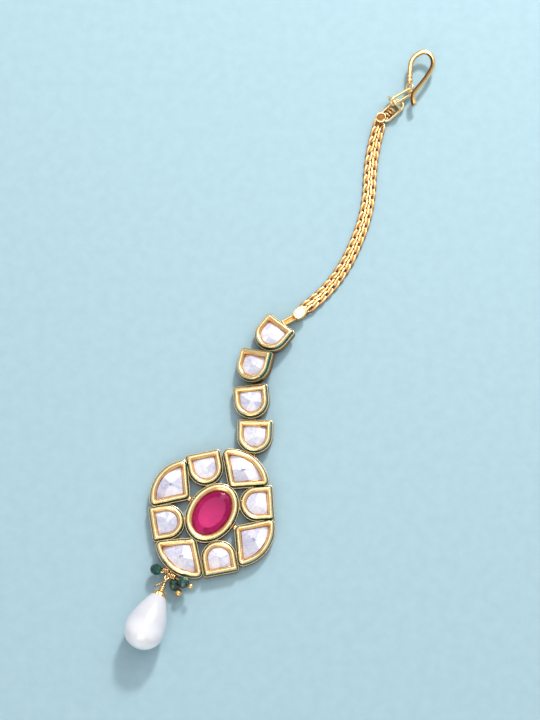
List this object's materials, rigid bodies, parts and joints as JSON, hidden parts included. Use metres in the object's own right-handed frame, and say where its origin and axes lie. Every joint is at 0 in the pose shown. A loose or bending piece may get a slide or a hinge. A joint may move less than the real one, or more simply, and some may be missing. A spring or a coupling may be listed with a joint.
{
  "type": "maang tikka",
  "caption": "Forehead ornament: gold-rimmed pendant of polki stones round a red oval, pearl and green bead drop, hinged stone strand, flat chain and hair hook.",
  "frame": {"origin": "centre of the pendant's flat back, under the red stone", "axes": "+Z out of the flat back through the stones; +Y from the pendant towards the chain and the hook; +X to the right of the piece as it lies face up"},
  "size_m": [0.0702, 0.1391, 0.0091],
  "materials": {
    "gold": "polished yellow gold plate",
    "kundan_stone": "clear to milky foil-backed stone",
    "red_stone": "polished red stone",
    "green_stone": "polished dark green stone",
    "pearl_white": "pearl lustre"
  },
  "bodies": {
    "root": {"pendant_frame": "gold", "setting_strand_1": "gold", "setting_strand_2": "gold", "setting_strand_3": "gold", "setting_strand_4": "gold", "chain_row_left": "gold", "chain_row_right": "gold", "lower_end_cap": "gold", "upper_end_cap": "gold", "bail_ring": "gold", "standing_ring": "gold", "hook_link": "gold", "hair_hook": "gold", "drop_ring": "gold", "pin_left": "gold", "pin_front": "gold", "pin_right": "gold", "pearl_cap": "gold", "red_stone": "red_stone", "stone_north": "kundan_stone", "stone_east": "kundan_stone", "stone_south": "kundan_stone", "stone_west": "kundan_stone", "stone_north_east": "kundan_stone", "stone_north_west": "kundan_stone", "stone_south_west": "kundan_stone", "stone_south_east": "kundan_stone", "stone_strand_1": "kundan_stone", "stone_strand_2": "kundan_stone", "stone_strand_3": "kundan_stone", "stone_strand_4": "kundan_stone", "bead_left": "green_stone", "bead_front": "green_stone", "bead_right": "green_stone", "pearl": "pearl_white"}
  },
  "joints": []
}
